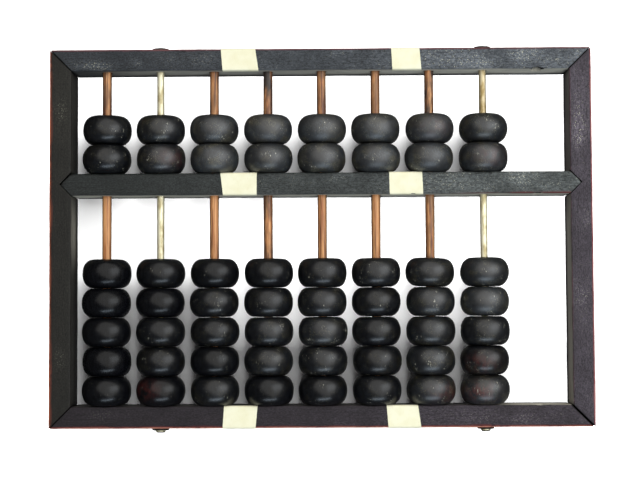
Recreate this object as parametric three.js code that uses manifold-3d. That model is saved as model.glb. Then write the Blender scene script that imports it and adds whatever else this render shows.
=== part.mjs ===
// A Chinese abacus with eight rods, two upper beads and five lower beads on each, lying on its back.
// Millimetres. +X runs along the rails, +Y towards the upper deck and +Z out of the front face.
// The origin is on the surface that the abacus lies on, under the middle of its outline.
import * as THREE from 'three';
import { mergeVertices } from 'three/addons/utils/BufferGeometryUtils.js';
import Module from 'manifold-3d';

const wasm = await Module();
wasm.setup();

// Frame
const frameLength = 265;
const frameWidth = 185;
const frameDepth = 20;
const railWidth = 10.7;
const stileWidth = 10.8;
const beamWidth = 10.8;
const beamCentreY = 26.1;
const clearance = 0.3;

// Rods and their holes: the ninth set of holes is empty
const rodCount = 8;
const holeCount = 9;
const rodPitch = 26.4;
const firstRodX = -105;
const rodAxisZ = 14;
const bambooRodRadius = 2.25;
const tieRodRadius = 1.8;
const tieRodNumbers = [2, 8];
const socketDepth = 7;
const rodSides = 12;

// Washers and riveted heads outside the rails, at both ends of each tie rod
const washerRadius = 4.1;
const washerThickness = 1;
const headRadius = 2.2;
const headHeight = 1.2;

// Beads
const lowerBeadsPerRod = 5;
const upperBeadsPerRod = 2;
const beadRadius = 12;
const beadHeight = 14;
const beadFlatRadius = 7.2;
const beadBoreRadius = bambooRodRadius + 0.6;
const beadSides = 16;
const beadArcSteps = 4;

// Places that follow from the sizes above
const halfLength = frameLength / 2;
const halfWidth = frameWidth / 2;
const innerX = halfLength - stileWidth;
const innerY = halfWidth - railWidth;
const beamHalfWidth = beamWidth / 2;
const diagonalClearance = clearance * Math.SQRT2;
const beadStep = beadHeight + clearance;

function lacqueredWood() {
  return new THREE.MeshStandardMaterial({ color: 0x2e2b2a, roughness: 0.6, metalness: 0 });
}

function beadWood() {
  return new THREE.MeshStandardMaterial({ color: 0x1b1a1b, roughness: 0.4, metalness: 0 });
}

function railAndRodWood() {
  return new THREE.MeshStandardMaterial({ color: 0x4a3a31, roughness: 0.55, metalness: 0 });
}

function named(name, geometry, material) {
  const mesh = new THREE.Mesh(geometry, material);
  mesh.name = name;
  return mesh;
}

function toSolid(geometry) {
  geometry.deleteAttribute('normal');
  geometry.deleteAttribute('uv');
  const merged = mergeVertices(geometry);
  const vertProperties = Float32Array.from(merged.attributes.position.array);
  const triVerts = Uint32Array.from(merged.index.array);
  return new wasm.Manifold(new wasm.Mesh({ numProp: 3, vertProperties, triVerts }));
}

function toGeometry(solid) {
  const { numProp, vertProperties, triVerts } = solid.getMesh();
  const geometry = new THREE.BufferGeometry();
  geometry.setAttribute('position', new THREE.BufferAttribute(vertProperties, numProp));
  geometry.setIndex(new THREE.BufferAttribute(triVerts, 1));
  return geometry;
}

// A frame member: its front outline, taken through the depth of the frame
function member(corners) {
  const outline = new THREE.Shape(corners.map(([x, y]) => new THREE.Vector2(x, y)));
  return new THREE.ExtrudeGeometry(outline, { depth: frameDepth, bevelEnabled: false });
}

// A round bar or hole along Y, on the plane of the rods
function barAlongY(radius, x, fromY, toY) {
  const bar = new THREE.CylinderGeometry(radius, radius, toY - fromY, rodSides);
  bar.translate(x, (fromY + toY) / 2, rodAxisZ);
  return toSolid(bar);
}

function rodX(number) {
  return firstRodX + (number - 1) * rodPitch;
}

function isTieRod(number) {
  return tieRodNumbers.includes(number);
}

function rodRadius(number) {
  return isTieRod(number) ? tieRodRadius : bambooRodRadius;
}

// A rail has mitred ends, with a thin open joint to each stile. side is +1 at the top, -1 at the bottom.
function rail(side) {
  const outerX = halfLength - diagonalClearance;
  const cornerX = innerX - diagonalClearance;
  const corners = [
    [-outerX, side * halfWidth],
    [outerX, side * halfWidth],
    [cornerX, side * innerY],
    [-cornerX, side * innerY],
  ];
  return toSolid(member(corners));
}

// Bamboo rods end in blind sockets in the rails
function bambooRod(number) {
  const endY = innerY + socketDepth;
  return barAlongY(bambooRodRadius, rodX(number), -endY, endY);
}

// Tie rods run right through the rails and are riveted over a washer at each end
function tieRod(number) {
  const x = rodX(number);
  const washerTop = halfWidth + washerThickness;
  let solid = barAlongY(tieRodRadius, x, -washerTop, washerTop);
  for (const side of [1, -1]) {
    const washerEnds = [side * (halfWidth - clearance), side * washerTop];
    const headEnds = [side * halfWidth, side * (washerTop + headHeight)];
    solid = solid.add(barAlongY(washerRadius, x, Math.min(...washerEnds), Math.max(...washerEnds)));
    solid = solid.add(barAlongY(headRadius, x, Math.min(...headEnds), Math.max(...headEnds)));
  }
  return solid;
}

// The two rails and the eight rods are riveted and glued into one unit
function railsAndRods() {
  let solid = rail(1).add(rail(-1));
  for (let number = 1; number <= rodCount; number += 1) {
    solid = solid.add(isTieRod(number) ? tieRod(number) : bambooRod(number));
  }
  const socketEnd = innerY + socketDepth;
  solid = solid.subtract(barAlongY(bambooRodRadius, rodX(holeCount), -socketEnd, socketEnd));
  return named('rails_and_rods', toGeometry(solid), railAndRodWood());
}

// A stile has mitred ends and a V notch that holds the point of the beam. side is +1 on the right.
function stile(name, side) {
  const notchDepth = beamHalfWidth + diagonalClearance;
  const corners = [
    [side * halfLength, -halfWidth],
    [side * halfLength, halfWidth],
    [side * innerX, innerY],
    [side * innerX, beamCentreY + notchDepth],
    [side * (innerX + notchDepth), beamCentreY],
    [side * innerX, beamCentreY - notchDepth],
    [side * innerX, -innerY],
  ];
  return named(name, member(corners), lacqueredWood());
}

// The beam ends in right-angled points, and every rod passes through it in a hole of its own
function beam() {
  const pointX = innerX + beamHalfWidth;
  const corners = [
    [-innerX, beamCentreY - beamHalfWidth],
    [innerX, beamCentreY - beamHalfWidth],
    [pointX, beamCentreY],
    [innerX, beamCentreY + beamHalfWidth],
    [-innerX, beamCentreY + beamHalfWidth],
    [-pointX, beamCentreY],
  ];
  const holeFromY = beamCentreY - beamWidth;
  const holeToY = beamCentreY + beamWidth;
  let solid = toSolid(member(corners));
  for (let number = 1; number <= holeCount; number += 1) {
    const holeRadius = rodRadius(number) + clearance;
    solid = solid.subtract(barAlongY(holeRadius, rodX(number), holeFromY, holeToY));
  }
  return named('beam', toGeometry(solid), lacqueredWood());
}

// A bead's section: flat ends, a side swept as half an ellipse, and a straight bore
function beadProfile() {
  const half = beadHeight / 2;
  const points = [new THREE.Vector2(beadBoreRadius, -half)];
  for (let step = 0; step <= beadArcSteps; step += 1) {
    const angle = (step / beadArcSteps - 0.5) * Math.PI;
    const bulge = (beadRadius - beadFlatRadius) * Math.cos(angle);
    points.push(new THREE.Vector2(beadFlatRadius + bulge, half * Math.sin(angle)));
  }
  points.push(new THREE.Vector2(beadBoreRadius, half));
  points.push(points[0].clone());
  return points;
}

// A stack of beads on one rod, counted upwards from the rail or beam that the lowest one rests on
function beadStack(number, deck, beadCount, restY) {
  const stack = new THREE.Group();
  stack.position.set(rodX(number), restY, rodAxisZ);
  for (let bead = 1; bead <= beadCount; bead += 1) {
    const geometry = new THREE.LatheGeometry(beadProfile(), beadSides);
    const mesh = named(`rod_${number}_${deck}_bead_${bead}`, geometry, beadWood());
    mesh.position.y = bead * beadStep - beadHeight / 2;
    stack.add(mesh);
  }
  return stack;
}

const abacus = new THREE.Group();
abacus.add(railsAndRods());
abacus.add(stile('left_stile', -1));
abacus.add(stile('right_stile', 1));
abacus.add(beam());
for (let number = 1; number <= rodCount; number += 1) {
  abacus.add(beadStack(number, 'lower', lowerBeadsPerRod, -innerY));
  abacus.add(beadStack(number, 'upper', upperBeadsPerRod, beamCentreY + beamHalfWidth));
}

export default abacus;
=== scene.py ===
"""The abacus as it looks: worn black lacquer, satin beads, bamboo and brass rods, paper tape.

Metres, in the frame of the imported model. Places come from the boxes of the CAD nodes.
"""
import math
import random

import bmesh
import bpy
from mathutils import Euler, Matrix, Vector, noise


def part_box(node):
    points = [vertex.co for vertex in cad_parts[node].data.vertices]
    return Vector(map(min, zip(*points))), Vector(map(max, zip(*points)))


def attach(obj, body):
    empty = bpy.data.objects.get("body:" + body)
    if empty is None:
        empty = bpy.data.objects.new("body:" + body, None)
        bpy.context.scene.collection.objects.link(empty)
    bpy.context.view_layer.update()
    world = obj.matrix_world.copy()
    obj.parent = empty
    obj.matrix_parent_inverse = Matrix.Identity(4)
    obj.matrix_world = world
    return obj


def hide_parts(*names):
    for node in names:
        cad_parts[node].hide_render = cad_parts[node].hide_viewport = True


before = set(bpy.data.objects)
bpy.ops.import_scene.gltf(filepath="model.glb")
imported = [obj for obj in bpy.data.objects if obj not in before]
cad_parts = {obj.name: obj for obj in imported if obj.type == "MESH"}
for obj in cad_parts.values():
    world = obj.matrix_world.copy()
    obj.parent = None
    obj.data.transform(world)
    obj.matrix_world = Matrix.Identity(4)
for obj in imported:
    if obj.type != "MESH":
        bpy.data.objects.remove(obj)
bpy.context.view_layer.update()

# mathutils takes the offsets of noise_vector from the clock unless it gets a seed
noise.seed_set(4)

MM = 0.001
STATIC_BODY = "frame"

# Counts and sizes that the boxes of the CAD nodes don't give
BEAD_SEED = 41
ROD_COUNT = 8
HOLE_COUNT = 9
TIE_RODS = (2, 8)
LOWER_BEADS = 5
UPPER_BEADS = 2
RAIL_WIDTH = 10.7 * MM
SOCKET_DEPTH = 7 * MM
BAMBOO_RADIUS = 2.25 * MM
BRASS_RADIUS = 1.8 * MM
HOLE_PLAY = 0.45 * MM
BORE_PLAY = 0.58 * MM
NOTCH_PLAY = 0.35 * MM
WASHER_RADIUS = 4.1 * MM
WASHER_THICKNESS = 1 * MM
RIVET_COLLAR = 0.63 * MM
TAPE_FOLD = 3.2 * MM
TAPE_THICKNESS = 0.14 * MM
CROOKED_BEAD = (7, "lower", 5)
CROOKED_TILT = -1.9

# Where reddish wood shows through on a bead: mm to the right and up from its middle, strength
RUBBED_BEADS = {
    (8, "lower", 1): (-3, -0.5, 1.0), (8, "lower", 2): (-3, -1, 0.6), (7, "lower", 1): (7, -1, 0.6),
    (2, "lower", 1): (-7, 1, 0.6), (2, "upper", 1): (6, 0, 0.4), (7, "upper", 2): (2, 0, 0.4),
    (8, "upper", 1): (3, 0, 0.5),
}

# How dirty the bamboo of some rods is below and above the beam
BAMBOO_GRIME = {1: (0.05, 0.6), 3: (0.05, 0.5), 4: (0.8, 1.0), 7: (0.6, 1.0)}

# Pale gritty spots on the frame, in mm: x, y, reach along x, reach along y, strength
STAINS = (
    (-110, 84.5, 9, 1.8, 0.7), (-90, 86, 1.8, 1.8, 1.0), (-60, 87, 14, 3, 0.3), (60, 87, 12, 3, 0.4),
    (80, 85, 12, 4, 0.7), (101, 88, 9, 3, 1.0), (120, 87, 6, 3, 0.5),
    (93, 28, 10, 3.5, 1.0), (107, 24, 2.5, 1.5, 0.9), (62, 27, 8, 3, 0.4), (-10, 27, 20, 3, 0.3),
    (126, 52, 2.5, 12, 0.9), (127, -30, 3, 14, 0.4), (127, 8, 3, 8, 0.4),
    (-127, 62, 3, 5, 0.25), (-127, -60, 2.5, 7, 0.2), (-102, -86, 9, 2, 0.2), (90, -88, 16, 2, 0.4),
)

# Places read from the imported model
STILE_LOW, STILE_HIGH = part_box("left_stile")
BEAM_LOW, BEAM_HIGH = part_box("beam")
HALF_LENGTH = -STILE_LOW.x
HALF_WIDTH = STILE_HIGH.y
DEPTH = STILE_HIGH.z
STILE_WIDTH = STILE_HIGH.x - STILE_LOW.x
INNER_X = HALF_LENGTH - STILE_WIDTH
INNER_Y = HALF_WIDTH - RAIL_WIDTH
BEAM_WIDTH = BEAM_HIGH.y - BEAM_LOW.y
BEAM_Y = (BEAM_LOW.y + BEAM_HIGH.y) / 2


def bead_node(number, deck, bead):
    return f"rod_{number}_{deck}_bead_{bead}"


def rod_place(number):
    """x and z of a rod's axis. Number 9 is the rod that is missing."""
    low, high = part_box(bead_node(min(number, ROD_COUNT), "lower", 1))
    axis = (low + high) / 2
    if number > ROD_COUNT:
        before = sum(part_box(bead_node(ROD_COUNT - 1, "lower", 1)), Vector()) / 2
        axis.x += axis.x - before.x
    return axis.x, axis.z


def rod_radius(number):
    return BRASS_RADIUS if number in TIE_RODS else BAMBOO_RADIUS


# ---------------------------------------------------------------- meshes

def add_object(name, mesh, material):
    made = bpy.data.objects.new(name, mesh)
    bpy.context.scene.collection.objects.link(made)
    made.data.materials.append(material)
    return made


def to_mesh(name, bm):
    bmesh.ops.recalc_face_normals(bm, faces=bm.faces)
    mesh = bpy.data.meshes.new(name)
    bm.to_mesh(mesh)
    bm.free()
    return mesh


def smooth(mesh, degrees=38):
    mesh.polygons.foreach_set("use_smooth", [True] * len(mesh.polygons))
    mesh.set_sharp_from_angle(angle=math.radians(degrees))


def set_vectors(mesh, name, vectors):
    layer = mesh.attributes.new(name, "FLOAT_VECTOR", "POINT")
    layer.data.foreach_set("vector", [c for vector in vectors for c in vector])


def set_floats(mesh, name, values):
    layer = mesh.attributes.new(name, "FLOAT", "POINT")
    layer.data.foreach_set("value", values)


def skin(rings, closed_path=False):
    """Joins rings of points into a surface. An open path gets a fan over each end."""
    bm = bmesh.new()
    loops = [[bm.verts.new(point) for point in ring] for ring in rings]
    count = len(loops[0])
    pairs = list(zip(loops, loops[1:]))
    if closed_path:
        pairs.append((loops[-1], loops[0]))
    for first, second in pairs:
        for i in range(count):
            j = (i + 1) % count
            bm.faces.new((first[i], first[j], second[j], second[i]))
    if not closed_path:
        for loop in (loops[0], loops[-1]):
            hub = bm.verts.new(sum((v.co for v in loop), Vector()) / count)
            for i in range(count):
                bm.faces.new((loop[i], loop[(i + 1) % count], hub))
    return bm


def ring_along_y(x, y, z, radius, sides):
    turns = [2 * math.pi * i / sides for i in range(sides)]
    return [Vector((x + radius * math.cos(a), y, z + radius * math.sin(a))) for a in turns]


def cut(mesh, cutters):
    """The mesh less every cutter."""
    scratch = bpy.data.objects.new("scratch", mesh)
    bpy.context.scene.collection.objects.link(scratch)
    tools = []
    for cutter in cutters:
        tool = bpy.data.objects.new("cutter", cutter)
        bpy.context.scene.collection.objects.link(tool)
        modifier = scratch.modifiers.new("cut", "BOOLEAN")
        modifier.operation = "DIFFERENCE"
        modifier.solver = "EXACT"
        modifier.object = tool
        tools.append(tool)
    graph = bpy.context.evaluated_depsgraph_get()
    result = bpy.data.meshes.new_from_object(scratch.evaluated_get(graph))
    for tool in tools + [scratch]:
        bpy.data.objects.remove(tool)
    return result


def fade(value, low, high):
    """0 up to low, 1 from high on, straight between."""
    return min(max((value - low) / (high - low), 0), 1)


def near(distance, reach):
    return math.exp(-(distance / reach) ** 2)


def uneven(point, size, amount):
    """A small smooth push in a direction that changes over the given distance."""
    return noise.noise_vector(point / size) * amount


# ---------------------------------------------------------------- materials

class Shader:
    """Short calls for building a node material that reads mesh attributes."""

    def __init__(self, name):
        self.material = bpy.data.materials.new(name)
        self.material.use_nodes = True
        self.tree = self.material.node_tree
        self.surface = self.tree.nodes["Principled BSDF"]

    def feed(self, socket, value):
        if isinstance(value, bpy.types.NodeSocket):
            self.tree.links.new(value, socket)
        else:
            socket.default_value = value

    def attribute(self, name, output="Vector"):
        node = self.tree.nodes.new("ShaderNodeAttribute")
        node.attribute_type = "GEOMETRY"
        node.attribute_name = name
        return node.outputs[output]

    def math(self, operation, first, second=0.0):
        node = self.tree.nodes.new("ShaderNodeMath")
        node.operation = operation
        self.feed(node.inputs[0], first)
        self.feed(node.inputs[1], second)
        return node.outputs[0]

    def axis(self, vector, name):
        node = self.tree.nodes.new("ShaderNodeSeparateXYZ")
        self.feed(node.inputs[0], vector)
        return node.outputs[name]

    def stretch(self, vector, scale):
        node = self.tree.nodes.new("ShaderNodeVectorMath")
        node.operation = "MULTIPLY"
        self.feed(node.inputs[0], vector)
        node.inputs[1].default_value = scale
        return node.outputs[0]

    def noise(self, vector, size, detail=4.0, roughness=0.55):
        """Noise whose features are about size metres across."""
        node = self.tree.nodes.new("ShaderNodeTexNoise")
        self.feed(node.inputs["Vector"], vector)
        node.inputs["Scale"].default_value = 1 / size
        node.inputs["Detail"].default_value = detail
        node.inputs["Roughness"].default_value = roughness
        return node.outputs["Fac"]

    def cells(self, vector, size):
        """Distance to the nearest of points about size metres apart, in units of size."""
        node = self.tree.nodes.new("ShaderNodeTexVoronoi")
        self.feed(node.inputs["Vector"], vector)
        node.inputs["Scale"].default_value = 1 / size
        return node.outputs["Distance"]

    def ramp(self, value, low, high, to_low=0.0, to_high=1.0):
        node = self.tree.nodes.new("ShaderNodeMapRange")
        node.interpolation_type = "SMOOTHSTEP"
        self.feed(node.inputs["Value"], value)
        node.inputs["From Min"].default_value = low
        node.inputs["From Max"].default_value = high
        node.inputs["To Min"].default_value = to_low
        node.inputs["To Max"].default_value = to_high
        return node.outputs["Result"]

    def mix(self, factor, first, second):
        node = self.tree.nodes.new("ShaderNodeMix")
        node.data_type = "RGBA"
        self.feed(node.inputs["Factor"], factor)
        self.feed(node.inputs["A"], first)
        self.feed(node.inputs["B"], second)
        return node.outputs["Result"]

    def bump(self, height, distance):
        node = self.tree.nodes.new("ShaderNodeBump")
        self.feed(node.inputs["Height"], height)
        node.inputs["Distance"].default_value = distance
        self.feed(self.surface.inputs["Normal"], node.outputs["Normal"])

    def finish(self, colour, roughness, **others):
        self.feed(self.surface.inputs["Base Color"], colour)
        self.feed(self.surface.inputs["Roughness"], roughness)
        for name, value in others.items():
            self.feed(self.surface.inputs[name.replace("_", " ")], value)
        return self.material


def rgb(red, green, blue):
    """A colour given as 0 to 255 sRGB."""
    parts = [c / 255 for c in (red, green, blue)]
    linear = [c / 12.92 if c <= 0.04045 else ((c + 0.055) / 1.055) ** 2.4 for c in parts]
    return (*linear, 1.0)


def times(colour, factor):
    return (*[part * factor for part in colour[:3]], 1)


def lacquer_dust_and_sheen(s, colour, haze, dust, mottle, patches):
    """Lays a layer of dust and of light-coloured grit on the colour. The layer grows along the member, and
    this also paints a sheen: the right end of the rails and beam and the top end of the stiles come out
    lighter. Returns the new colour and the layer.
    """
    grain = s.attribute("grain")
    stain = s.attribute("stain", "Fac")
    # Dust that grows along the member; it also paints a sheen, lighter towards the right and top ends.
    dust_and_sheen = s.ramp(s.axis(grain, "X"), -HALF_LENGTH, HALF_LENGTH, *dust)
    film_and_light = s.math("MULTIPLY", s.ramp(mottle, 0.28, 0.74), s.ramp(patches, 0.3, 0.7, 0.5, 1.1))
    film_and_light = s.math("MULTIPLY", film_and_light, s.math("ADD", dust_and_sheen, s.math("MULTIPLY", stain, 0.5)))
    colour = s.mix(film_and_light, colour, haze)
    specks = s.ramp(s.cells(grain, 0.8 * MM), 0.16, 0.34, 1, 0)
    some = s.ramp(s.noise(grain, 2.5 * MM, 2), 0.45, 0.62)
    grit = s.math("ADD", s.math("MULTIPLY", some, s.math("MULTIPLY", dust_and_sheen, dust_and_sheen)), stain)
    grit = s.math("MULTIPLY", specks, s.math("MULTIPLY", grit, s.ramp(patches, 0.4, 0.62, 0.15, 0.9)))
    return s.mix(grit, colour, rgb(216, 214, 190)), film_and_light


def lacquer_wear(s, colour, worn, mottle, patches):
    """Lets reddish wood show where worn_edge is high."""
    rubbed = s.math("ADD", s.math("MULTIPLY", patches, 0.6), s.math("MULTIPLY", mottle, 0.5))
    rubbed = s.math("MULTIPLY", s.ramp(rubbed, 0.28, 0.6), s.attribute("worn_edge", "Fac"))
    colour = s.mix(s.ramp(rubbed, 0.1, 0.35), colour, worn[0])
    return s.mix(s.ramp(rubbed, 0.4, 0.85), colour, worn[1])


def lacquer(name, body, haze, worn, dust):
    """Dark lacquer with fine grain, dust, and reddish wood where its edges are rubbed, with a painted sheen
    on the faces towards the beads and painted shade in the holes.

    grain is (along, across, up) in metres. worn_edge, pale, seam, hole and stain run from 0 to 1.
    pale paints a sheen on the faces towards the beads; hole paints shade on the walls of the holes.
    haze is the colour of the dust, which is also laid on as painted sheen. worn is the colour of a lightly
    and of a fully rubbed edge.
    dust is how much dust, and with it painted sheen, the piece has at -HALF_LENGTH and at HALF_LENGTH along
    it.
    """
    s = Shader(name)
    grain = s.attribute("grain")
    streaks = s.noise(s.stretch(grain, (0.08, 1, 1)), 0.8 * MM)
    mottle = s.noise(s.stretch(grain, (0.5, 1, 1)), 1.0 * MM, 5, 0.85)
    patches = s.noise(grain, 15 * MM, 3)
    fine = s.noise(s.stretch(grain, (0.5, 1, 1)), 0.5 * MM, 3, 0.8)
    dark = times(body, 0.25)
    colour = s.mix(s.ramp(streaks, 0.3, 0.7), dark, body)
    colour = s.mix(s.ramp(fine, 0.4, 0.78), colour, times(body, 3))
    colour, film_and_light = lacquer_dust_and_sheen(s, colour, haze, dust, mottle, patches)
    # Painted sheen: the faces towards the beads are made lighter, standing for light they catch; streaks
    # break it up.
    painted_sheen = s.math("MULTIPLY", s.attribute("painted_sheen", "Fac"), s.ramp(streaks, 0.25, 0.6, 0.6, 1))
    colour = s.mix(painted_sheen, colour, rgb(236, 230, 212))
    colour = lacquer_wear(s, colour, worn, mottle, patches)
    pores = s.noise(s.stretch(grain, (0.05, 1, 1)), 0.4 * MM, 2)
    colour = s.mix(s.ramp(pores, 0.58, 0.7, 0, 0.6), colour, dark)
    # Dark joints, and painted shade on the walls of the holes.
    joint_dirt_and_hole_shade = s.math("MAXIMUM", s.attribute("hole", "Fac"), s.attribute("seam", "Fac"))
    colour = s.mix(joint_dirt_and_hole_shade, colour, rgb(14, 11, 10))
    s.bump(s.math("ADD", s.math("MULTIPLY", streaks, 0.6), s.math("ADD", mottle, fine)), 0.05 * MM)
    roughness = s.ramp(s.math("ADD", mottle, film_and_light), 0.3, 0.9, 0.42, 0.7)
    return s.finish(colour, roughness, Specular_IOR_Level=0.24)


def bead_grime(s, colour, local, dust_and_light, mottle):
    """Dust in patches, then light scuffs, then olive grains, all more on a dustier bead. The dust grows
    towards the right columns partly as painted light.
    """
    patches = s.noise(local, 8 * MM, 3)
    film_and_light = s.math("MULTIPLY", s.ramp(patches, 0.35, 0.65, 0.25, 1), s.ramp(mottle, 0.42, 0.64, 0.1, 1))
    film_and_light = s.math("MULTIPLY", film_and_light, s.ramp(dust_and_light, 0, 1.1, 0, 0.3))
    olive = s.ramp(s.noise(local, 9 * MM, 2), 0.5, 0.62)
    colour = s.mix(film_and_light, colour, s.mix(olive, rgb(94, 108, 118), rgb(132, 128, 98)))
    scuffs = s.ramp(s.noise(s.stretch(local, (1, 0.25, 1)), 0.5 * MM, 2, 0.7), 0.6, 0.7)
    scuffs = s.math("MULTIPLY", scuffs, s.ramp(s.noise(local, 5 * MM, 2), 0.57, 0.66))
    scuffs = s.math("MULTIPLY", scuffs, s.ramp(dust_and_light, 0.08, 0.42))
    colour = s.mix(scuffs, colour, rgb(196, 194, 178))
    grains = s.ramp(s.cells(local, 0.55 * MM), 0.16, 0.36, 1, 0)
    grains = s.math("MULTIPLY", grains, s.ramp(s.noise(local, 4 * MM, 3), 0.46, 0.62))
    grains = s.math("MULTIPLY", grains, s.ramp(dust_and_light, 0.05, 0.6, 0, 0.4))
    return s.mix(grains, colour, rgb(150, 142, 108))


def bead_finish():
    """Dark hardwood under old lacquer, satin from handling.

    local is in metres. dust is how much dust the bead has, rising towards the right columns partly as
    painted light; rubbed is how much reddish wood shows.
    """
    s = Shader("bead_lacquer")
    local = s.attribute("local")
    dust_and_light = s.attribute("dust", "Fac")
    streaks = s.noise(s.stretch(local, (1, 0.1, 1)), 0.7 * MM, 3)
    mottle = s.noise(s.stretch(local, (1, 0.5, 1)), 0.6 * MM, 4, 0.75)
    fine = s.noise(local, 0.35 * MM, 2)
    colour = s.mix(s.ramp(streaks, 0.3, 0.7), rgb(2, 2, 4), rgb(13, 14, 18))
    reddish = s.ramp(s.noise(s.stretch(local, (1, 0.6, 1)), 3 * MM, 4, 0.65), 0.36, 0.6)
    reddish = s.math("MULTIPLY", reddish, s.attribute("rubbed", "Fac"))
    colour = s.mix(reddish, colour, rgb(74, 30, 26))
    colour = bead_grime(s, colour, local, dust_and_light, mottle)
    height = s.math("ADD", s.math("MULTIPLY", streaks, 0.8), s.math("ADD", mottle, fine))
    s.bump(height, 0.012 * MM)
    dull = s.math("ADD", s.math("MULTIPLY", mottle, 0.3), s.math("MULTIPLY", dust_and_light, 0.9))
    roughness = s.ramp(dull, 0.15, 1.1, 0.27, 0.52)
    return s.finish(colour, roughness, IOR=1.7,
                    Specular_IOR_Level=s.ramp(dust_and_light, 0, 0.9, 0.15, 0.72))


def bamboo_finish():
    """Split bamboo, smoked brown: long fibres, dark streaks, grime as far as dust says, and painted shade
    darkening the sides of the rod.
    """
    s = Shader("smoked_bamboo")
    local = s.attribute("local")
    grime = s.attribute("dust", "Fac")
    fibres = s.noise(s.stretch(local, (1, 0.02, 1)), 0.45 * MM, 3, 0.6)
    bands = s.noise(s.stretch(local, (1, 0.035, 1)), 1.6 * MM, 3)
    blotches = s.noise(s.stretch(local, (1, 0.25, 1)), 3 * MM, 4)
    colour = s.mix(s.ramp(fibres, 0.3, 0.7), rgb(168, 98, 54), rgb(240, 180, 120))
    colour = s.mix(s.ramp(bands, 0.54, 0.62, 0, 0.85), colour, rgb(92, 44, 26))
    colour = s.mix(s.math("MULTIPLY", s.ramp(blotches, 0.3, 0.62), grime), colour, rgb(54, 46, 42))
    # Painted shade: the rod is darker towards its sides.
    shaded_side_offset = s.math("ABSOLUTE", s.axis(local, "X"))
    colour = s.mix(s.ramp(shaded_side_offset, 1.2 * MM, 2.2 * MM, 0, 0.75), colour, rgb(60, 28, 16))
    s.bump(s.math("ADD", fibres, bands), 0.05 * MM)
    return s.finish(colour, s.ramp(fibres, 0.3, 0.7, 0.34, 0.5), Specular_IOR_Level=0.45)


def brass_finish():
    """Drawn brass gone dull: olive in patches, tan where dust is 0.5, black where it is 1. Its sides are
    darker olive, which is painted shade.
    """
    s = Shader("old_brass")
    local = s.attribute("local")
    tarnish = s.attribute("dust", "Fac")
    draw_lines = s.noise(s.stretch(local, (1, 0.03, 1)), 0.35 * MM, 2)
    patches = s.noise(s.stretch(local, (1, 0.3, 1)), 2.2 * MM, 4)
    colour = s.mix(s.ramp(patches, 0.35, 0.7), rgb(252, 246, 214), rgb(230, 216, 168))
    olive = s.math("MULTIPLY", s.ramp(patches, 0.45, 0.65), s.ramp(tarnish, 0, 0.5))
    colour = s.mix(olive, colour, rgb(150, 134, 84))
    colour = s.mix(s.ramp(tarnish, 0.25, 0.5, 0, 0.5), colour, rgb(178, 146, 92))
    # Painted shade: darker olive towards the sides of the rod.
    shaded_side_offset = s.math("ABSOLUTE", s.axis(local, "X"))
    colour = s.mix(s.ramp(shaded_side_offset, 1.0 * MM, 1.8 * MM, 0, 0.6), colour, rgb(96, 84, 46))
    black = s.ramp(tarnish, 0.6, 1)
    colour = s.mix(black, colour, rgb(10, 9, 8))
    s.bump(draw_lines, 0.02 * MM)
    roughness = s.math("MAXIMUM", s.ramp(patches, 0.3, 0.7, 0.36, 0.5), s.ramp(black, 0, 1, 0, 0.8))
    return s.finish(colour, roughness, Metallic=s.ramp(black, 0, 1, 0.35, 0),
                    Specular_IOR_Level=s.ramp(black, 0, 1, 0.5, 0.1))


def steel_finish():
    s = Shader("dark_steel")
    local = s.attribute("local")
    rust = s.noise(local, 1.5 * MM, 5, 0.65)
    colour = s.mix(s.ramp(rust, 0.4, 0.65), rgb(16, 15, 14), rgb(48, 38, 26))
    s.bump(rust, 0.05 * MM)
    return s.finish(colour, s.ramp(rust, 0.35, 0.65, 0.4, 0.75), Metallic=0.4)


def paper_finish():
    """Cream paper tape, slightly clouded, with faint fibres."""
    s = Shader("paper_tape")
    local = s.attribute("local")
    fibres = s.noise(s.stretch(local, (1, 0.4, 1)), 0.7 * MM, 5, 0.7)
    cloud = s.noise(local, 6 * MM, 2)
    colour = s.mix(s.ramp(cloud, 0.3, 0.7), rgb(250, 247, 218), rgb(244, 240, 206))
    colour = s.mix(s.ramp(fibres, 0.55, 0.75, 0, 0.3), colour, rgb(222, 210, 165))
    s.bump(fibres, 0.04 * MM)
    return s.finish(colour, 0.7, Specular_IOR_Level=0.25)


def floor_finish():
    s = Shader("white_board")
    place = s.tree.nodes.new("ShaderNodeNewGeometry").outputs["Position"]
    cloud = s.noise(place, 90 * MM, 3)
    colour = s.mix(s.ramp(cloud, 0.3, 0.7), (0.93, 0.93, 0.93, 1), (0.95, 0.95, 0.95, 1))
    s.bump(s.noise(place, 1.5 * MM, 2), 0.01 * MM)
    return s.finish(colour, 0.8, Specular_IOR_Level=0.2)


# ---------------------------------------------------------------- frame members

def corner_arc(centre, radius, start, steps=4):
    turns = [math.radians(start - 90 * i / steps) for i in range(steps + 1)]
    return [(centre[0] + radius * math.cos(a), centre[1] + radius * math.sin(a)) for a in turns]


def section(width, depth, radii):
    """Outline of a member's cross-section as (across, up) points. Its flats are divided.

    radii are those of the outer-back, outer-front, inner-front and inner-back edges.
    """
    centres = [(radii[0], radii[0]), (radii[1], depth - radii[1])]
    centres += [(width - radii[2], depth - radii[2]), (width - radii[3], radii[3])]
    starts = (270, 180, 90, 0)
    arcs = [corner_arc(c, r, a) for c, r, a in zip(centres, radii, starts)]
    flats = (6, 6, 6, 4)
    points = []
    for i in range(4):
        points += arcs[i]
        last, following = arcs[i][-1], arcs[(i + 1) % 4][0]
        for k in range(1, flats[i]):
            t = k / flats[i]
            points.append(tuple(a + (b - a) * t for a, b in zip(last, following)))
    return points


def shrink(points, width, depth, inset):
    """The outline pulled in towards its middle by about inset on every side."""
    x_scale, z_scale = 1 - 2 * inset / width, 1 - 2 * inset / depth
    return [(width / 2 + (a - width / 2) * x_scale, depth / 2 + (w - depth / 2) * z_scale)
            for a, w in points]


def wobble(place, base, amount):
    return base + amount * noise.noise(Vector((place / (14 * MM), base / MM, 3.7)))


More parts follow.
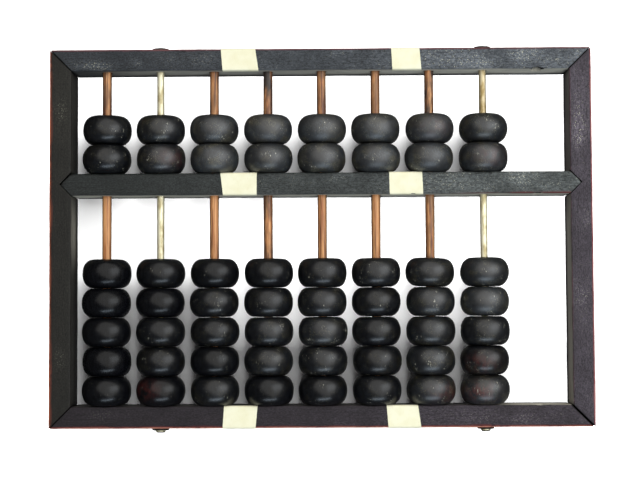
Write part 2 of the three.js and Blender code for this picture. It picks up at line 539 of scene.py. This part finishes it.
def member_mesh(name, width, depth, stations, place, seed):
    """A bar swept through stations from -1 to 1, with worn edges and eased ends.

    place(station, across, up) gives the position of a point of the section.
    """
    bevel = 0.004  # length of the eased end, as a share of half the member
    steps = [-1 + 2 * i / stations for i in range(stations + 1)]
    steps[1:1] = [-1 + bevel]
    steps[-1:-1] = [1 - bevel]
    rings = []
    for step in steps:
        shift = step * HALF_LENGTH + seed
        radii = [0.7 * MM, wobble(shift, 1.15 * MM, 0.5 * MM), wobble(shift, 0.6 * MM, 0.25 * MM), 0.6 * MM]
        outline = section(width, depth, radii)
        if abs(step) == 1:
            outline = shrink(outline, width, depth, 0.3 * MM)
        rings.append([place(step, across, up) for across, up in outline])
    offset = Vector((seed, seed, seed))
    for step, ring in zip(steps, rings):
        free = fade(1 - abs(step), bevel, 8 * bevel)
        for point in ring:
            push = uneven(point + offset, 16 * MM, 0.1 * MM) + uneven(point + offset, 3 * MM, 0.035 * MM)
            point += push * free
    return to_mesh(name, skin(rings))


def hole_cutter(number, from_y, to_y):
    x, z = rod_place(number)
    radius = rod_radius(number) + HOLE_PLAY
    rings = [ring_along_y(x, y, z, radius, 24) for y in (from_y, to_y)]
    return to_mesh("hole", skin(rings))


def chip_cutter(centre, radii):
    """An uneven pebble that breaks an edge."""
    rings = []
    for i in range(1, 8):
        angle = math.pi * (i / 8 - 0.5)
        ring = ring_along_y(0, radii[1] * math.sin(angle), 0, math.cos(angle), 16)
        rings.append([Vector((p.x * radii[0], p.y, p.z * radii[2])) + Vector(centre) for p in ring])
    for ring in rings:
        for point in ring:
            point += uneven(point, 1.5 * MM, 0.35 * MM)
    return to_mesh("chip", skin(rings))


def stain_at(point):
    spots = []
    for x, y, reach_x, reach_y, strength in STAINS:
        apart = math.hypot((point.x / MM - x) / reach_x, (point.y / MM - y) / reach_y)
        spots.append(strength * near(apart, 1))
    return max(spots)


def describe_member(mesh, width, along_across, wear, reach, painted_sheen):
    """Writes what the lacquer reads.

    along_across(point) gives the place along, across, and the distance to the member's joint.
    wear(along) is how rubbed the outer and the inner front edge are. reach is how far it spreads.
    pale(along) is how strong a painted sheen is on the face towards the beads.
    """
    rows = {"grain": [], "worn_edge": [], "painted_sheen": [], "seam": [], "hole": [], "stain": []}
    for vertex in mesh.vertices:
        along, across, to_end = along_across(vertex.co)
        up = vertex.co.z
        rows["grain"].append((along, across, up))
        outer_wear, inner_wear = wear(along)
        outer = outer_wear * near(math.hypot(across, (DEPTH - up) * 0.4), reach)
        inner = inner_wear * near(math.hypot(width - across, DEPTH - up), 0.8 * MM)
        rows["worn_edge"].append(max(outer, inner))
        # The face towards the beads gets a painted sheen, a lighter band that stands for light caught
        # there; its back 5 mm stay dark.
        side = fade(across, width - 0.5 * MM, width - 0.1 * MM) * fade(up, 5 * MM, 7.5 * MM)
        rows["painted_sheen"].append(side * fade(DEPTH - up, 0.2 * MM, 0.9 * MM) * painted_sheen(along))
        rows["seam"].append(near(max(to_end, 0), 0.3 * MM))
        # Faces cut into the member, such as the walls of the holes, get painted shade.
        inside = 0.5 * MM < across < width - 0.25 * MM and 0.5 * MM < up < DEPTH - 0.25 * MM
        rows["hole"].append(1.0 if inside and to_end > 0.6 * MM else 0.0)
        rows["stain"].append(stain_at(vertex.co))
    set_vectors(mesh, "grain", rows.pop("grain"))
    for name, values in rows.items():
        set_floats(mesh, name, values)


def rail_cutters(side):
    """Blind sockets for the bamboo, through holes for the brass, a chip at the empty hole."""
    cutters = []
    for number in range(1, HOLE_COUNT + 1):
        inner, outer = INNER_Y - 2 * MM, INNER_Y + SOCKET_DEPTH
        if number in TIE_RODS:
            outer = HALF_WIDTH + 2 * MM
        cutters.append(hole_cutter(number, *sorted((side * inner, side * outer))))
    x = rod_place(HOLE_COUNT)[0]
    depth = 1.2 * MM if side > 0 else 0.35 * MM
    cutters.append(chip_cutter((x, side * INNER_Y, DEPTH - 2.2 * MM), (3.9 * MM, depth, 3 * MM)))
    return cutters


def make_rail(name, side, material, right_gap, wear, reach, painted_sheen):
    """side is +1 at the top. right_gap is how far its right mitre joint gapes."""
    slope = STILE_WIDTH / RAIL_WIDTH

    def place(step, across, up):
        opening = fade(up, DEPTH - 7 * MM, DEPTH)
        gap = -0.08 * MM + opening * (0.36 * MM + (right_gap * step ** 8 if step > 0 else 0))
        return Vector((step * (HALF_LENGTH - across * slope - gap), side * (HALF_WIDTH - across), up))

    def along_across(point):
        across = HALF_WIDTH - side * point.y
        return point.x, across, HALF_LENGTH - across * slope - 0.3 * MM - abs(point.x)

    mesh = member_mesh(name, RAIL_WIDTH, DEPTH, 110, place, 0.31 * side)
    mesh = cut(mesh, rail_cutters(side))
    describe_member(mesh, RAIL_WIDTH, along_across, wear, reach, painted_sheen)
    smooth(mesh)
    made = add_object(name, mesh, material)
    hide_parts("rails_and_rods")
    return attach(made, STATIC_BODY)


def notch_cutter(side, loose):
    """A prism for the point of the beam. loose opens the joint above the beam."""
    reach = BEAM_WIDTH / 2
    overshoot = 3 * MM
    start = INNER_X - overshoot
    tip = INNER_X + reach + NOTCH_PLAY
    rings = []
    for z in (-1 * MM, DEPTH + 1 * MM):
        corners = [
            (start, BEAM_Y + reach + NOTCH_PLAY + loose + overshoot),
            (tip, BEAM_Y + loose * 0.35),
            (start, BEAM_Y - reach - NOTCH_PLAY - overshoot),
        ]
        rings.append([Vector((side * x, y, z)) for x, y in corners])
    return to_mesh("notch", skin(rings))


def make_stile(name, node, side, material, loose, wear, reach, painted_sheen):
    """side is +1 on the right. loose is how far its joint with the beam gapes."""
    slope = RAIL_WIDTH / STILE_WIDTH

    def place(step, across, up):
        end = HALF_WIDTH - across * slope
        return Vector((side * (HALF_LENGTH - across), step * end, up))

    def along_across(point):
        across = HALF_LENGTH - side * point.x
        return point.y, across, HALF_WIDTH - across * slope - abs(point.y)

    mesh = member_mesh(name, STILE_WIDTH, DEPTH, 80, place, 0.57 * side)
    mesh = cut(mesh, [notch_cutter(side, loose)])
    describe_member(mesh, STILE_WIDTH, along_across, wear, reach, painted_sheen)
    smooth(mesh)
    made = add_object(name, mesh, material)
    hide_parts(node)
    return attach(made, STATIC_BODY)


def make_beam(name, node, material, wear, painted_sheen):
    half = BEAM_WIDTH / 2

    def place(step, across, up):
        end = INNER_X + half - abs(across - half)
        return Vector((step * end, BEAM_HIGH.y - across, up))

    def along_across(point):
        across = BEAM_HIGH.y - point.y
        return point.x, across, INNER_X + half - abs(across - half) - abs(point.x)

    mesh = member_mesh(name, BEAM_WIDTH, DEPTH, 110, place, 0.83)
    ends = (BEAM_LOW.y - 2 * MM, BEAM_HIGH.y + 2 * MM)
    cutters = [hole_cutter(number, *ends) for number in range(1, HOLE_COUNT + 1)]
    x = rod_place(HOLE_COUNT)[0]
    cutters.append(chip_cutter((x, BEAM_LOW.y, DEPTH - 1.2 * MM), (2.6 * MM, 0.7 * MM, 2 * MM)))
    mesh = cut(mesh, cutters)
    describe_member(mesh, BEAM_WIDTH, along_across, wear, 1 * MM, painted_sheen)
    smooth(mesh)
    made = add_object(name, mesh, material)
    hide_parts(node)
    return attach(made, STATIC_BODY)


# ---------------------------------------------------------------- rods and washers

def make_rod(number, material):
    """A rod with small unevenness, running into the rails."""
    x, z = rod_place(number)
    brass = number in TIE_RODS
    end = HALF_WIDTH + WASHER_THICKNESS if brass else INNER_Y + SOCKET_DEPTH - 0.3 * MM
    bend, swelling = (0.06 * MM, 0.01) if brass else (0.2 * MM, 0.03)
    steps = 96
    rings = []
    for i in range(steps + 1):
        y = end * (2 * i / steps - 1)
        drift = noise.noise_vector(Vector((number * 5.1, y / (70 * MM), 0))) * bend
        swell = 1 + swelling * noise.noise(Vector((number * 3.3, y / (20 * MM), 1)))
        radius = rod_radius(number) * swell
        rings.append(ring_along_y(x + drift.x, y, z + drift.z, radius, 20))
    if brass:
        rings = riveted_end(x, z, -1)[::-1] + rings[1:-1] + riveted_end(x, z, 1)
    mesh = to_mesh("rod", skin(rings))
    smooth(mesh)
    offset = Vector((0, 0, number * 0.05))
    set_vectors(mesh, "local", [v.co - Vector((x, 0, z)) + offset for v in mesh.vertices])
    set_floats(mesh, "dust", [rod_grime(number, v.co.y) for v in mesh.vertices])
    kind = "brass" if brass else "bamboo"
    made = add_object(f"rod_{number}_{kind}", mesh, material)
    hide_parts("rails_and_rods")
    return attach(made, STATIC_BODY)


def washer_top(side):
    """Where a washer's outer face is. The washers at the top rail are a little thinner."""
    return HALF_WIDTH + WASHER_THICKNESS * (0.95 if side > 0 else 1)


def riveted_end(x, z, side):
    """The collar and the head outside a washer, from the washer outwards."""
    profile = [(2.5, 0), (2.5, 0.6), (2.1, 0.66), (2.12, 1.05), (1.8, 1.2)]
    if side > 0:
        profile = [(2.2, 0), (2.3, 0.2), (1.9, 0.42), (1.0, 0.52)]
    start = washer_top(side)
    return [ring_along_y(x, side * (start + out * MM), z, r * MM, 20) for r, out in profile]


def rod_grime(number, y):
    """How dirty a rod is at y: bamboo more so above the beam, the last brass rod too.

    On brass 1 is black, for the heads at the bottom rail, and 0 is bright.
    """
    if number in TIE_RODS:
        if abs(y) > HALF_WIDTH:
            return 1.0 if y < -washer_top(-1) - RIVET_COLLAR else 0.0
        return 0.5 if number == ROD_COUNT and y > BEAM_Y else 0.25
    lower, upper = BAMBOO_GRIME.get(number, (0.2, 0.6))
    return lower + (upper - lower) * fade(y, BEAM_Y, BEAM_Y + 30 * MM)


def make_washer(number, side, material):
    x, z = rod_place(number)
    bottom, top = HALF_WIDTH, washer_top(side)
    ease = 0.2 * MM
    bore = BRASS_RADIUS + 0.12 * MM
    profile = [
        (bore, bottom), (WASHER_RADIUS - ease, bottom), (WASHER_RADIUS, bottom + ease),
        (WASHER_RADIUS, top - ease), (WASHER_RADIUS - ease, top), (bore, top),
    ]
    rings = [ring_along_y(x, side * y, z, radius, 40) for radius, y in profile]
    mesh = to_mesh("washer", skin(rings, closed_path=True))
    smooth(mesh)
    set_vectors(mesh, "local", [v.co for v in mesh.vertices])
    edge = "top" if side > 0 else "bottom"
    made = add_object(f"washer_{number}_{edge}", mesh, material)
    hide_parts("rails_and_rods")
    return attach(made, STATIC_BODY)


# ---------------------------------------------------------------- beads

def bead_profile(radius, flat, height, bore, power):
    """(radius, y) points of a bead's section, round its whole closed outline."""
    half = height / 2
    ease = 0.35 * MM
    points = [(bore + ease, -half), (flat - ease, -half)]
    arc_steps = 28
    for i in range(1, arc_steps):
        angle = math.pi * (i / arc_steps - 0.5)
        t = abs(math.sin(angle)) ** (2 / power)
        bulge = math.cos(angle) ** (2 / power)
        points.append((flat + (radius - flat) * bulge, math.copysign(half * t, angle)))
    points += [(flat - ease, half), (bore + ease, half), (bore, half - ease)]
    points += [(bore, half * k) for k in (0.5, 0, -0.5)]
    points.append((bore, -half + ease))
    return points


def rubbed_at(point, patch):
    """How much reddish wood shows at a point given from the bead's middle."""
    right, up, strength = patch
    apart = math.hypot((point.x / MM - right) / 6.5, (point.y / MM - up) / 4)
    return strength * near(apart, 1) if point.z > 0 else 0.0


def bead_dust_and_light(number, deck, rng):
    """Beads are dustier towards the right, and above the beam; the rise towards the right also paints light
    falling from the right.
    """
    dust = rng.uniform(0, 0.1 + 0.03 * number) + 0.04 * number
    if deck == "upper" and 3 <= number <= 7:
        dust = rng.uniform(0.7, 0.95)
    if deck == "upper" and number < 3:
        dust += 0.15 * number
    return dust


def bead_mesh(radius, flat, height, power, offset):
    """A bead about the origin, along y. offset moves it to its own part of the noise."""
    profile = bead_profile(radius, flat, height, BAMBOO_RADIUS + BORE_PLAY, power)
    rings = [ring_along_y(0, y, 0, r, 56) for r, y in profile]
    for ring in rings:
        for point in ring:
            point += uneven(point + offset, 12 * MM, 0.07 * MM)
    mesh = to_mesh("bead", skin(rings, closed_path=True))
    smooth(mesh)
    set_vectors(mesh, "local", [v.co + offset for v in mesh.vertices])
    return mesh


def make_bead(number, deck, bead, material, rng):
    """A bead in the place of its CAD node, with its own shape, turn, tilt and dust, the dust also carrying
    painted light.
    """
    node = bead_node(number, deck, bead)
    low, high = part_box(node)
    centre = (low + high) / 2
    cad_height = high.y - low.y
    height = cad_height + rng.uniform(0, 0.1) * MM
    radius = (high.z - low.z) / 2 - rng.uniform(0, 0.12) * MM
    flat = rng.uniform(6.3, 7.0) * MM
    power = rng.uniform(2.0, 2.25)
    spin = rng.uniform(0, 2 * math.pi)
    tilt = rng.uniform(-0.4, 0.4)
    if (number, deck, bead) == CROOKED_BEAD:
        tilt = CROOKED_TILT
        height = cad_height - 0.15 * MM
    seed = rng.uniform(0, 4)
    centre.x += rng.uniform(-0.25, 0.25) * MM
    # Dust rises towards the right columns, and so paints the light that falls from the right.
    dust = bead_dust_and_light(number, deck, rng)
    mesh = bead_mesh(radius, flat, height, power, Vector((seed, seed * 0.37, number)))
    set_floats(mesh, "dust", [dust] * len(mesh.vertices))
    turn = Euler((0, spin, 0)).to_matrix().to_4x4()
    lean = Matrix.Rotation(math.radians(tilt), 4, "Z")
    mesh.transform(Matrix.Translation(centre) @ lean @ turn)
    patch = RUBBED_BEADS.get((number, deck, bead), (0, 0, 0))
    set_floats(mesh, "rubbed", [rubbed_at(v.co - centre, patch) for v in mesh.vertices])
    made = add_object(f"bead_{number}_{deck}_{bead}", mesh, material)
    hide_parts(node)
    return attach(made, node)


# ---------------------------------------------------------------- paper tape

def tape_path(width):
    """(across, up) points over the front face of a member, folded down both of its sides."""
    fold = TAPE_FOLD
    lift = 0.1 * MM
    bend = 0.9 * MM
    path = [(-lift, DEPTH - fold + fold * k / 4) for k in range(4)]
    path = [(a, w) for a, w in path if w < DEPTH - bend]
    path += [(a - lift, w + lift) for a, w in corner_arc((bend, DEPTH - bend), bend, 180)]
    path += [(bend + (width - 2 * bend) * k / 8, DEPTH + lift) for k in range(1, 8)]
    path += [(a + lift, w + lift) for a, w in corner_arc((width - bend, DEPTH - bend), bend, 90)]
    path += [(width + lift, DEPTH - bend - (fold - bend) * k / 3) for k in range(1, 4)]
    return path


def thickened(sheet, thickness):
    scratch = bpy.data.objects.new("scratch", sheet)
    bpy.context.scene.collection.objects.link(scratch)
    thicken = scratch.modifiers.new("thicken", "SOLIDIFY")
    thicken.thickness = thickness
    thicken.offset = 0
    graph = bpy.context.evaluated_depsgraph_get()
    mesh = bpy.data.meshes.new_from_object(scratch.evaluated_get(graph))
    bpy.data.objects.remove(scratch)
    return mesh


def make_tape(name, x_at_outer, x_at_inner, width, place, material, seed):
    """A strip glued over a member. The x pairs are its two edges at the outer and inner side."""
    columns = 12
    bm = bmesh.new()
    grid = []
    for across, up in tape_path(width):
        share = min(max(across / width, 0), 1)
        left = x_at_outer[0] + (x_at_inner[0] - x_at_outer[0]) * share
        right = x_at_outer[1] + (x_at_inner[1] - x_at_outer[1]) * share
        row = []
        for k in range(columns + 1):
            ragged = 0.12 * MM * noise.noise(Vector((across / MM, up / MM, seed + (k > columns / 2))))
            x = left + (right - left) * k / columns + ragged
            point = place(x, across, up)
            row.append(bm.verts.new(point + uneven(point, 4 * MM, 0.05 * MM)))
        grid.append(row)
    for first, second in zip(grid, grid[1:]):
        for k in range(columns):
            bm.faces.new((first[k], first[k + 1], second[k + 1], second[k]))
    mesh = thickened(to_mesh(name, bm), TAPE_THICKNESS)
    smooth(mesh, 50)
    set_vectors(mesh, "local", [v.co for v in mesh.vertices])
    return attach(add_object(name, mesh, material), STATIC_BODY)


# ---------------------------------------------------------------- the build

# How strong the painted sheen is along the top rail's face towards the beads, rising towards the right.
def top_rail_painted_sheen(along):
    return 0.06 + 0.5 * fade(along, -112 * MM, -80 * MM) + 0.4 * fade(along, -40 * MM, 70 * MM)


def make_frame():
    """Makes the five wooden members and returns the three that shade the low light."""
    # The lacquers grow lighter and dustier towards the right and the top, the left stile darkest: partly
    # their own tone and dust, partly painted light falling from the right.
    top = lacquer("lacquer_top", rgb(28, 31, 35), rgb(130, 136, 143),
                  (rgb(86, 50, 56), rgb(140, 100, 100)), (0.14, 0.95))
    bottom = lacquer("lacquer_bottom", rgb(26, 21, 25), rgb(125, 115, 127),
                     (rgb(90, 34, 32), rgb(190, 124, 104)), (0.04, 0.38))
    left = lacquer("lacquer_left", rgb(21, 20, 17), rgb(112, 110, 100),
                   (rgb(80, 42, 34), rgb(180, 100, 68)), (0.04, 0.12))
    # The right stile's fully rubbed colour is a light pink: reddish wear, and partly a painted highlight on
    # its outer edge.
    right = lacquer("lacquer_right", rgb(37, 31, 37), rgb(140, 132, 144),
                    (rgb(130, 62, 66), rgb(220, 176, 170)), (0.26, 0.44))
    middle = lacquer("lacquer_beam", rgb(25, 28, 27), rgb(132, 138, 138),
                     (rgb(90, 42, 40), rgb(150, 90, 80)), (0.04, 0.8))
    # The last argument of each member is how strong the painted sheen is along its face towards the beads.
    make_rail("top_rail", 1, top, 0.05 * MM, lambda along: (1.2, 0.05), 0.7 * MM, top_rail_painted_sheen)
    # The bottom rail gets it only right of the beads; beside them its face stays dark, as if in their
    # shade.
    bottom_rail = make_rail("bottom_rail", -1, bottom, 0.95 * MM, lambda along: (1.2, 0.1), 0.8 * MM,
                            lambda along: 0.08 + 0.85 * fade(along, 70 * MM, 95 * MM))
    left_stile = make_stile("left_stile_wood", "left_stile", -1, left, 0.9 * MM,
                            lambda along: (1.3, 0), 0.95 * MM,
                            lambda along: 0.03 + 0.3 * near(along - 3 * MM, 14 * MM))
    make_stile("right_stile_wood", "right_stile", 1, right, 0.25 * MM,
               lambda along: (1.1, 0.2), 0.7 * MM,
               lambda along: 0.6 - 0.4 * fade(along, 5 * MM, 30 * MM))
    beam = make_beam("beam_wood", "beam", middle, lambda along: (0, 0.4 * fade(along, 40 * MM, 90 * MM)),
                     lambda along: 0.85)
    return [bottom_rail, left_stile, beam]


def make_rods():
    bamboo, brass, steel = bamboo_finish(), brass_finish(), steel_finish()
    for number in range(1, ROD_COUNT + 1):
        tie = number in TIE_RODS
        make_rod(number, brass if tie else bamboo)
    for number in TIE_RODS:
        for side in (1, -1):
            make_washer(number, side, steel)


def make_beads():
    material = bead_finish()
    rng = random.Random(BEAD_SEED)
    made = []
    for number in range(1, ROD_COUNT + 1):
        for deck, count in (("lower", LOWER_BEADS), ("upper", UPPER_BEADS)):
            for bead in range(1, count + 1):
                made.append(make_bead(number, deck, bead, material, rng))
    return made


def make_tapes():
    material = paper_finish()

    def on_top(x, across, up):
        return Vector((x, HALF_WIDTH - across, up))

    def on_bottom(x, across, up):
        return Vector((x, across - HALF_WIDTH, up))

    def on_beam(x, across, up):
        return Vector((x, BEAM_HIGH.y - across, up))

    # In mm: left and right edge at the outer side of the member, then at its inner side
    rows = [
        ("tape_top_left", -48.5, -31.7, -47.7, -30.1, RAIL_WIDTH, on_top),
        ("tape_top_right", 34.8, 48.6, 35.4, 49.6, RAIL_WIDTH, on_top),
        ("tape_beam_left", -48.9, -31.1, -47.6, -31.2, BEAM_WIDTH, on_beam),
        ("tape_beam_right", 33.4, 49.5, 33.7, 49.9, BEAM_WIDTH, on_beam),
        ("tape_bottom_left", -48.0, -32.1, -47.3, -31.0, RAIL_WIDTH, on_bottom),
        ("tape_bottom_right", 32.2, 48.1, 31.4, 46.6, RAIL_WIDTH, on_bottom),
    ]
    for seed, (name, a, b, c, d, width, place) in enumerate(rows):
        make_tape(name, (a * MM, b * MM), (c * MM, d * MM), width, place, material, seed)


def make_floor():
    bm = bmesh.new()
    bmesh.ops.create_grid(bm, x_segments=8, y_segments=8, size=3.0)
    floor = bpy.data.objects.new("floor", to_mesh("floor", bm))
    floor.data.materials.append(floor_finish())
    bpy.context.scene.collection.objects.link(floor)
    floor.visible_glossy = False
    floor.visible_diffuse = False
    return floor


def area_light(name, place, size, radiance, colour=(1, 1, 1)):
    """A light of (width, height) that faces the abacus. radiance is what a mirror would show of it."""
    light = bpy.data.lights.new(name, "AREA")
    light.shape = "RECTANGLE"
    light.size, light.size_y = size
    light.energy = radiance * math.pi * size[0] * size[1]
    light.color = colour
    made = bpy.data.objects.new(name, light)
    made.location = place
    made.rotation_euler = (-Vector(place)).to_track_quat("-Z", "Y").to_euler()
    made.visible_camera = False
    bpy.context.scene.collection.objects.link(made)
    return made


def link_light(light, floor, on_floor, blockers=()):
    """Keeps a light to the floor, or off it. Only the blockers, if there are any, stop it."""
    group = bpy.data.collections.new(light.name + "_receivers")
    group.objects.link(floor)
    group.collection_objects[0].light_linking.link_state = "INCLUDE" if on_floor else "EXCLUDE"
    light.light_linking.receiver_collection = group
    if blockers:
        screen = bpy.data.collections.new(light.name + "_blockers")
        for blocker in blockers:
            screen.objects.link(blocker)
        light.light_linking.blocker_collection = screen


def shading_beads(beads):
    """The lowest three beads of the first two columns."""
    names = [f"bead_{number}_lower_{bead}" for number in (1, 2) for bead in (1, 2, 3)]
    return [bead for bead in beads if bead.name in names]


def make_lights(floor, high_blockers, low_blockers):
    """Three lights for the abacus, and two for the floor that only their blockers stop."""
    overhead = area_light("overhead", (0.25, 0.4, 1.0), (2.6, 2.1), 1.3, (1, 0.98, 0.94))
    key = area_light("key", (0.66, 0.2, 0.8), (0.6, 0.8), 2.0, (0.88, 0.94, 1))
    front = area_light("front", (0.12, -1.0, 0.76), (1.1, 0.2), 8.0, (0.74, 0.87, 1))
    table_high = area_light("table_high", (0.53, 1.1, 0.83), (1.3, 1.3), 12.5)
    table_low = area_light("table_low", (-0.45, -1.15, 0.42), (1.0, 0.6), 31.0)
    for light in (overhead, key, front):
        link_light(light, floor, False)
    link_light(table_high, floor, True, high_blockers)
    link_light(table_low, floor, True, low_blockers)
    world = bpy.data.worlds.new("studio")
    world.use_nodes = True
    background = world.node_tree.nodes["Background"]
    background.inputs["Color"].default_value = (1, 1, 1, 1)
    background.inputs["Strength"].default_value = 0.07
    bpy.context.scene.world = world
    bpy.context.scene.view_settings.view_transform = "Standard"


def make_camera():
    data = bpy.data.cameras.new("camera")
    data.sensor_width = 36
    data.lens = 82.84
    data.clip_start = 0.01
    data.clip_end = 50
    camera = bpy.data.objects.new("camera", data)
    camera.location = (0.00492, -0.03679, 0.73513)
    camera.rotation_euler = [math.radians(a) for a in (2.8208, 0.4434, -0.3)]
    bpy.context.scene.collection.objects.link(camera)
    bpy.context.scene.camera = camera


low_members = make_frame()
make_rods()
beads = make_beads()
make_tapes()
make_lights(make_floor(), beads, shading_beads(beads) + low_members)
make_camera()
